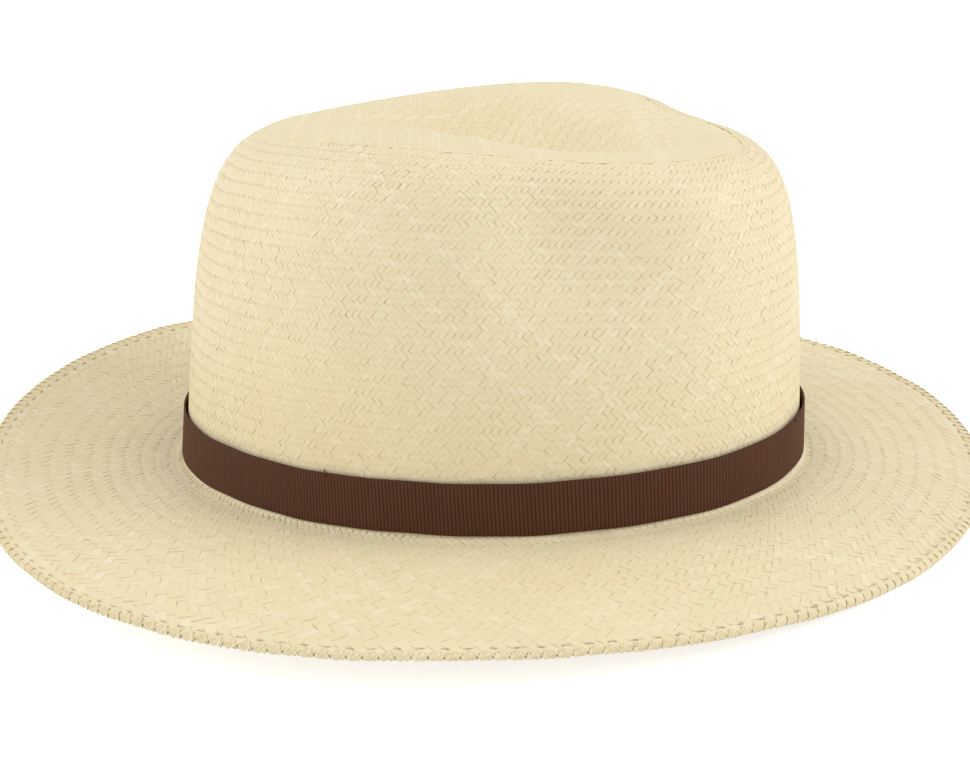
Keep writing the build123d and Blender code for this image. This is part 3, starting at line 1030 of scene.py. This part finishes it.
# Four tacks of brown thread that hold the ribbon's upper edge to the straw.
tack_angles = np.radians([3, 135, 183, -92])
brown_thread = thread_finish("brown thread", (0.13, 0.06, 0.03, 1), (0.04, 0.016, 0.008, 1))
tack_heights = np.full(len(tack_angles), ribbon_top)
tack_centres = wall_point(tack_angles, ribbon_gap + ribbon_ply - play, tack_heights)
tack_facings = wall_point(tack_angles, 1.0, tack_heights) - wall_point(tack_angles, 0, tack_heights)
tack_alongs = [np.array([0, 0, 1.0])] * len(tack_angles)
lines = stitch_lines(list(tack_centres), tack_alongs, list(unit(tack_facings)), 0.0018, 0.00035)
add_stitches("tack_thread", lines, brown_thread, "band_tacks")

# Sweatband: a strip of pale woven cotton inside the foot of the crown. It lies flat on
# the straw, and its lower edge is folded in round a plastic reed and stitched.
band_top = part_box("sweatband")[1][2]
band_ply = 0.0008
tape_ply = 0.00022
tape_top = 0.008
reed_radius = 0.001
reed_level = 0.0023
band_back = -(straw + tape_ply + 3 * play)
reed_gap = band_back + play - reed_radius
band_stitch_level = 0.0066
band_stitch_pitch = 0.005


def weave_group():
    """Plain weave: warp and weft cross as a fine chequer of rounded threads."""
    inputs = {
        "Run": ("NodeSocketFloat", 0.0),
        "Across": ("NodeSocketFloat", 0.0),
        "Thread Pitch": ("NodeSocketFloat", 0.0005),
    }
    tree, given, made = new_group("plain weave", "ShaderNodeTree", inputs, {"Threads": "NodeSocketFloat"})
    waves = []
    for name in ("Run", "Across"):
        turns = maths(tree, "DIVIDE", given.outputs[name], given.outputs["Thread Pitch"])
        waves.append(maths(tree, "SINE", maths(tree, "MULTIPLY", turns, math.pi)))
    chequer = maths(tree, "MULTIPLY", waves[0], waves[1])
    height = maths(tree, "ADD", maths(tree, "MULTIPLY", chequer, 0.5), 0.5)
    tree.links.new(height, made.inputs["Threads"])
    return tree


plain_weave = weave_group()


def cloth_finish(name, colour, worn_and_gap_shade, thread_pitch, roughness=0.85, depth=0.0001):
    material, tree, shader = new_material(name, roughness)
    threads = group_node(
        tree,
        plain_weave,
        {"Run": value_of(tree, "run"), "Across": value_of(tree, "across"), "Thread Pitch": thread_pitch},
    )
    blotches = group_node(tree, patches, {"Patch Size": 0.015, "Contrast": 1.6})
    worn = mixed(tree, maths(tree, "MULTIPLY", blotches, 0.4), colour, worn_and_gap_shade)
    # Painted shade: the gaps between the threads are darkened towards the same darker colour that the worn
    # patches use.
    gaps = maths(tree, "POWER", maths(tree, "SUBTRACT", 1.0, threads), 2.0)
    woven = mixed(tree, maths(tree, "MULTIPLY", gaps, 0.6), worn, worn_and_gap_shade)
    tree.links.new(woven, shader.inputs["Base Color"])
    bumped(tree, shader, threads, 0.5, depth)
    return material


def inner_strip(name, gaps, heights, ply, material, node, puckers=0.0):
    """A strip inside the crown, from the gap and height of each line across its width."""
    stations = np.linspace(0, 2 * math.pi, 720, endpoint=False)[:, None]
    pucker = puckers * np.cos(stations * band_stitch_count)
    middle = wall_point(stations, np.array(gaps)[None, :] + pucker, np.array(heights)[None, :])
    steps = np.linalg.norm(np.diff(middle[:, 0], axis=0, prepend=middle[-1:, 0]), axis=1)
    run = np.cumsum(steps) - steps[0]
    piece = cloth_strip(name, middle, run, ply, material, closed=True)
    put_in_place(piece, node)


band_stitch_count = round(math.pi * (crown_length + crown_width) / 2 / band_stitch_pitch)
band_cloth = cloth_finish("sweatband cotton", (0.80, 0.74, 0.60, 1), (0.62, 0.54, 0.40, 1), 0.00045)
flat_gap = band_back - band_ply / 2
fold_turn = np.radians([200, 225, 250, 275, 300])
fold_out = reed_radius + band_ply / 2 + play
band_gaps = list(reed_gap + fold_out * np.cos(fold_turn[::-1])) + [
    reed_gap - fold_out,
    reed_gap - fold_out * 0.8,
    flat_gap - 0.0002,
    flat_gap,
    flat_gap,
    flat_gap,
    flat_gap,
]
band_heights = list(reed_level + fold_out * np.sin(fold_turn[::-1])) + [
    reed_level + 0.0004,
    reed_level + 0.0015,
    0.0060,
    0.0074,
    0.0150,
    0.0240,
    band_top,
]
inner_strip(
    "sweatband_strip", band_gaps, band_heights, band_ply, band_cloth, "sweatband", 0.00008
)

# Reed in the fold: an extruded plastic rod. Its design shape is its real one, so it stays
# and gets its finish: milky plastic with faint soft blotches.
def reed_finish():
    material, tree, shader = new_material("milky plastic", 0.4)
    blotches = group_node(tree, patches, {"Patch Size": 0.004, "Contrast": 1.4})
    colour = mixed(tree, blotches, (0.80, 0.79, 0.72, 1), (0.88, 0.87, 0.82, 1))
    tree.links.new(colour, shader.inputs["Base Color"])
    tree.links.new(
        maths(tree, "ADD", maths(tree, "MULTIPLY", blotches, 0.15), 0.32), shader.inputs["Roughness"]
    )
    bumped(tree, shader, blotches, 0.2, 0.0001)
    return material


milky_plastic = reed_finish()
reed_object = bpy.data.objects["sweatband_reed"]
for material_slot in reed_object.material_slots:
    material_slot.material = milky_plastic

# Tape that joins the fold to the straw, the tape over the sweatband's join at the back,
# and a blank satin label. All are thin, woven and sewn in.
tape_cotton = cloth_finish("tape cotton", (0.84, 0.80, 0.70, 1), (0.66, 0.60, 0.48, 1), 0.0003)
label_satin = cloth_finish("label satin", (0.92, 0.91, 0.87, 1), (0.78, 0.76, 0.70, 1), 0.00018, 0.4)
tape_gap = -(straw + play) - tape_ply / 2
tape_heights = np.linspace(reed_level + 0.0004, tape_top, 6)
inner_strip(
    "reed_tape_strip", [tape_gap] * 6, list(tape_heights), tape_ply, tape_cotton, "reed_tape"
)


def inner_patch(name, middle_angle, half_angle, gap, low, high, ply, material, node):
    stations = np.linspace(middle_angle - half_angle, middle_angle + half_angle, 40)[:, None]
    middle = wall_point(stations, gap, np.linspace(low, high, 24)[None, :])
    run = (stations[:, 0] - stations[0, 0]) * 0.09
    piece = cloth_strip(name, middle, run, ply, material)
    put_in_place(piece, node)


for name, node, ply, material, slot in (
    ("back_seam_strip", "back_seam_tape", tape_ply, tape_cotton, "tape_cloth"),
    ("blank_label", "size_label", 0.00012, label_satin, "label_satin"),
):
    low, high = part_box(node)
    if node == "size_label":
        middle_angle, half_angle, gap = math.radians(160), math.radians(5.5), -(straw + play) - ply / 2
    else:
        middle_angle, half_angle = math.pi, math.radians(2.6)
        gap = band_back - band_ply - thread / 2 - 2 * play - ply / 2
    inner_patch(name, middle_angle, half_angle, gap, low[2], high[2], ply, material, node)

# Stitches along the sweatband, just above its fold.
band_thread = thread_finish("white thread", (0.90, 0.87, 0.78, 1), (0.66, 0.60, 0.48, 1))
stitch_angles = 2 * math.pi * (np.arange(band_stitch_count) + 0.5) / band_stitch_count
stitch_heights = np.full(band_stitch_count, band_stitch_level)
stitch_gap = band_back - band_ply - play
stitch_centres = wall_point(stitch_angles, stitch_gap, stitch_heights)
stitch_alongs = unit(wall_point(stitch_angles + 0.01, stitch_gap, stitch_heights) - stitch_centres)
stitch_facings = unit(np.cross(np.array([0, 0, 1.0]), stitch_alongs))
lines = stitch_lines(list(stitch_centres), list(stitch_alongs), list(stitch_facings), stitch_length, 0.00015)
add_stitches("sweatband_thread", lines, band_thread, "sweatband_stitches")

# Floor and light: a white studio table, a bright even room, and two broad soft lamps, one
# before the hat and one behind it. Table and room are brighter for the camera's own rays.
floor_glow = 0.06
floor_seen_glow = 0.6
room_light = 0.76
room_seen_light = 0.35


def seen_brighter(tree, extra, base):
    """A strength that is higher for the camera's own rays."""
    seen = add_node(tree, "ShaderNodeLightPath").outputs["Is Camera Ray"]
    return maths(tree, "ADD", maths(tree, "MULTIPLY", seen, extra), base)


floor_level = hem_low[2] - 0.0006
floor_reach = 6
floor_mesh = bpy.data.meshes.new("floor")
signs = [(-1, -1), (1, -1), (1, 1), (-1, 1)]
corners = [(x * floor_reach, y * floor_reach, floor_level) for x, y in signs]
floor_mesh.from_pydata(corners, [], [(0, 1, 2, 3)])
floor = new_piece("floor", floor_mesh)
floor_material, floor_tree, floor_shader = new_material("white table", 0.9)
floor_shader.inputs["Base Color"].default_value = (0.95, 0.95, 0.95, 1)
floor_shader.inputs["Emission Color"].default_value = (1, 1, 1, 1)
floor_strength = seen_brighter(floor_tree, floor_seen_glow, floor_glow)
floor_tree.links.new(floor_strength, floor_shader.inputs["Emission Strength"])
floor_mesh.materials.append(floor_material)
world = bpy.data.worlds.new("studio")
world.use_nodes = True
world.node_tree.nodes["Background"].inputs["Color"].default_value = (1, 1, 1, 1)
room_strength = seen_brighter(world.node_tree, room_seen_light, room_light)
world.node_tree.links.new(room_strength, world.node_tree.nodes["Background"].inputs["Strength"])
bpy.context.scene.world = world
bpy.context.scene.view_settings.view_transform = "Standard"


def lamp(name, place, size, power):
    data = bpy.data.lights.new(name, "AREA")
    data.energy = power
    data.size = size
    lamp_object = bpy.data.objects.new(name, data)
    lamp_object.location = place
    lamp_object.rotation_euler = (Vector((0, 0, 0.05)) - Vector(place)).to_track_quat("-Z", "Y").to_euler()
    bpy.context.scene.collection.objects.link(lamp_object)


lamp("key", (0.41, -1.18, 0.9), 0.8, 7.0)
lamp("fill", (-0.64, 1.07, 0.9), 0.8, 6.2)
